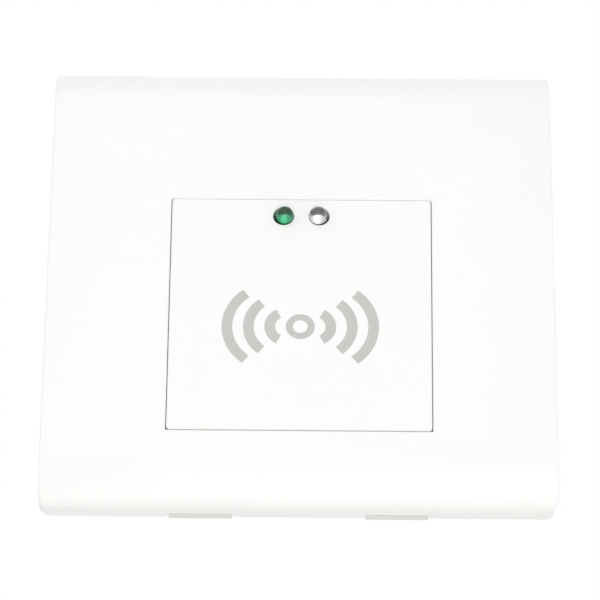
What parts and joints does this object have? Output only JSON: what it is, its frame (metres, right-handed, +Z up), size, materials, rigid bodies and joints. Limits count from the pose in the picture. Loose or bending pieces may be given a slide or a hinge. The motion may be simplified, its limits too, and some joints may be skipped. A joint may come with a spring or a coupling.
{
  "type": "rfid card reader",
  "caption": "Flush wall card reader: clip-on square cover with rolled edges, inset reader panel, indicator lamps, rear housing with screw terminals.",
  "frame": {"origin": "on the wall surface, midway between the two wall screws, behind the centre of the cover plate", "axes": "+Z up the wall, +X to the right seen from the room, +Y into the wall; the cover's face looks along -Y"},
  "size_m": [0.086, 0.0299, 0.086],
  "materials": {
    "cover_plastic": "satin white moulded plastic",
    "panel_plastic": "satin white moulded plastic",
    "frame_plastic": "matt off-white moulded plastic",
    "housing_plastic": "matt dark grey moulded plastic",
    "circuit_board": "green solder mask",
    "zinc_steel": "zinc-plated steel",
    "bobbin_plastic": "black nylon",
    "copper_wire": "enamelled copper winding",
    "tinned_metal": "tinned leads",
    "green_lens": "green tinted epoxy",
    "clear_lens": "water-clear epoxy",
    "black_plastic": "black moulded plastic",
    "plunger_plastic": "ivory nylon",
    "spring_steel": "spring steel wire",
    "terminal_plastic": "green moulded nylon",
    "brass_metal": "nickel-plated brass",
    "switch_plastic": "red moulded plastic",
    "slider_plastic": "white moulded plastic",
    "capacitor_sleeve": "dark shrink sleeve",
    "can_metal": "drawn nickel can",
    "chip_resin": "moulded resin",
    "ceramic_chip": "ceramic chip"
  },
  "bodies": {
    "root": {"antenna_coil": "copper_wire", "buzzer": "black_plastic", "buzzer_pins": "tinned_metal", "capacitor_leads": "tinned_metal", "case_screws": "zinc_steel", "chip_leads": "tinned_metal", "chip_passives": "ceramic_chip", "clear_led": "clear_lens", "coil_bobbin": "bobbin_plastic", "coil_pins": "tinned_metal", "controller_chip": "chip_resin", "crystal": "can_metal", "crystal_leads": "tinned_metal", "filter_capacitors": "capacitor_sleeve", "green_led": "green_lens", "led_leads": "tinned_metal", "led_spacer": "black_plastic", "main_board": "circuit_board", "mode_switch": "switch_plastic", "mode_switch_pins": "tinned_metal", "module_housing": "housing_plastic", "mounting_frame": "frame_plastic", "reader_chip": "chip_resin", "reader_panel": "panel_plastic", "regulator_leads": "tinned_metal", "tamper_spring": "spring_steel", "tamper_switch": "black_plastic", "terminal_block": "terminal_plastic", "terminal_cages": "brass_metal", "terminal_pins": "tinned_metal", "terminal_screws": "zinc_steel", "voltage_regulator": "chip_resin", "wall_screws": "zinc_steel"},
    "cover": {"cover_plate": "cover_plastic"},
    "plunger": {"tamper_plunger": "plunger_plastic"},
    "mode_slider_1": {"mode_slider_1": "slider_plastic"},
    "mode_slider_2": {"mode_slider_2": "slider_plastic"}
  },
  "joints": [
    {"name": "cover_pull_off", "type": "slide", "parent": "root", "child": "cover", "axis": [0, -1, 0], "range_m": [0, 0.04]},
    {"name": "plunger_travel", "type": "slide", "parent": "root", "child": "plunger", "axis": [0, -1, 0], "range_m": [0, 0.0012], "stiffness_N_per_m": 100, "springref_m": 0.0018},
    {"name": "mode_slider_1_slide", "type": "slide", "parent": "root", "child": "mode_slider_1", "axis": [0, 0, 1], "range_m": [0, 0.0017]},
    {"name": "mode_slider_2_slide", "type": "slide", "parent": "root", "child": "mode_slider_2", "axis": [0, 0, 1], "range_m": [0, 0.0017]}
  ],
  "couplings": [
    {"joint": "plunger_travel", "follows": "cover_pull_off", "ratio": 0.03}
  ]
}
